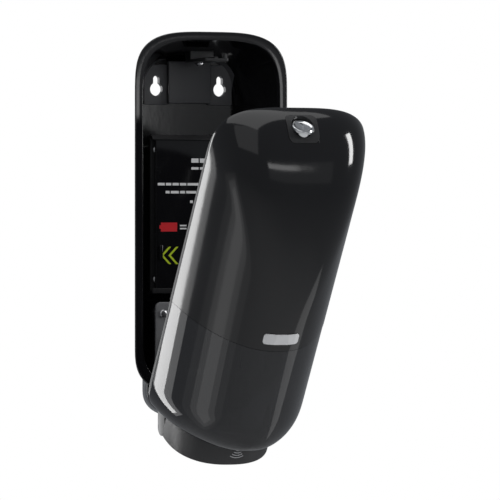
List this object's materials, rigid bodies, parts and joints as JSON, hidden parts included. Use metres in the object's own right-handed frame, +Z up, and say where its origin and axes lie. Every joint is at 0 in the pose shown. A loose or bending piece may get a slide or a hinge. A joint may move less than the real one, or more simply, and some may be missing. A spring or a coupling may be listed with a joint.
{
  "type": "wall mounted soap dispenser",
  "caption": "Automatic wall soap dispenser with its glossy cover hinged open, smoked lower window, keyhole tray, battery box and geared pump drive.",
  "frame": {"origin": "centre of the flat wall face of the rear housing, level with a line 140 mm above the cover's hinge pins", "axes": "+Z up, +Y into the wall, +X to the right when seen from the room"},
  "size_m": [0.116, 0.2142, 0.3038],
  "materials": {
    "gloss_black": "high gloss moulded black",
    "satin_black": "satin moulded black",
    "grey_plastic": "satin dark grey",
    "smoked_window": "polished smoke tint",
    "steel": "plain steel",
    "chrome_lock": "polished chrome",
    "gear_white": "natural acetal",
    "badge_white": "printed white",
    "circuit_board": "solder resist",
    "cell_wrap": "printed film",
    "infrared_lens": "dark infrared pass"
  },
  "bodies": {
    "housing": {"rear_housing": "gloss_black", "hinge_pin_left": "steel", "hinge_pin_right": "steel", "latch_striker": "satin_black", "striker_screw": "steel", "battery_box": "satin_black", "battery_box_screw_1": "steel", "battery_box_screw_2": "steel", "battery_box_screw_3": "steel", "battery_box_screw_4": "steel", "battery_1": "cell_wrap", "battery_2": "cell_wrap", "battery_3": "cell_wrap", "battery_4": "cell_wrap", "contact_spring_left": "steel", "contact_spring_right": "steel", "contact_bridge": "steel", "pump_motor": "steel", "output_axle": "steel", "reduction_axle": "steel", "drive_case": "satin_black", "drive_cover": "grey_plastic", "drive_screw_1": "steel", "drive_screw_2": "steel", "drive_screw_3": "steel", "drive_screw_4": "steel", "refill_cradle": "satin_black", "nozzle_guide": "satin_black", "control_board": "circuit_board", "ir_emitter": "infrared_lens", "ir_receiver": "infrared_lens", "sensor_window": "infrared_lens", "board_capacitor": "cell_wrap"},
    "door": {"battery_door": "gloss_black"},
    "output": {"output_gear": "gear_white"},
    "reduction": {"reduction_gear": "gear_white"},
    "pinion": {"motor_pinion": "steel"},
    "yoke": {"pump_yoke": "gear_white"},
    "cover": {"cover_shell": "gloss_black", "cover_window": "smoked_window", "sensor_collar": "satin_black", "lock_insert": "satin_black", "cover_badge": "badge_white"},
    "lock": {"lock_barrel": "chrome_lock", "lock_cam": "steel"}
  },
  "joints": [
    {"name": "cover_hinge", "type": "hinge", "parent": "housing", "child": "cover", "pos_m": [0, -0.027, -0.14], "axis": [1, 0, 0], "range_deg": [-33, 0]},
    {"name": "lock_turn", "type": "hinge", "parent": "cover", "child": "lock", "pos_m": [0, -0.20676, 0.0652], "axis": [0, -0.5446, 0.8387], "range_deg": [-90, 0]},
    {"name": "battery_door_slide", "type": "slide", "parent": "housing", "child": "door", "axis": [-1, 0, 0], "range_m": [0, 0.008]},
    {"name": "pump_lift", "type": "slide", "parent": "housing", "child": "yoke", "axis": [0, 0, 1], "range_m": [0, 0.0081]},
    {"name": "output_gear_spin", "type": "hinge", "parent": "housing", "child": "output", "pos_m": [0, -0.026, -0.089], "axis": [1, 0, 0], "range_deg": [-65.48, 0]},
    {"name": "reduction_gear_spin", "type": "hinge", "parent": "housing", "child": "reduction", "pos_m": [0, -0.02251, -0.07257], "axis": [1, 0, 0], "range_deg": [0, 165]},
    {"name": "motor_spin", "type": "hinge", "parent": "housing", "child": "pinion", "pos_m": [0, -0.03099, -0.06408], "axis": [1, 0, 0], "range_deg": [-495, 0]}
  ],
  "couplings": [
    {"joint": "pump_lift", "follows": "output_gear_spin", "m_per_rad": -0.007},
    {"joint": "reduction_gear_spin", "follows": "output_gear_spin", "ratio": -2.5},
    {"joint": "motor_spin", "follows": "output_gear_spin", "ratio": 7.5}
  ]
}
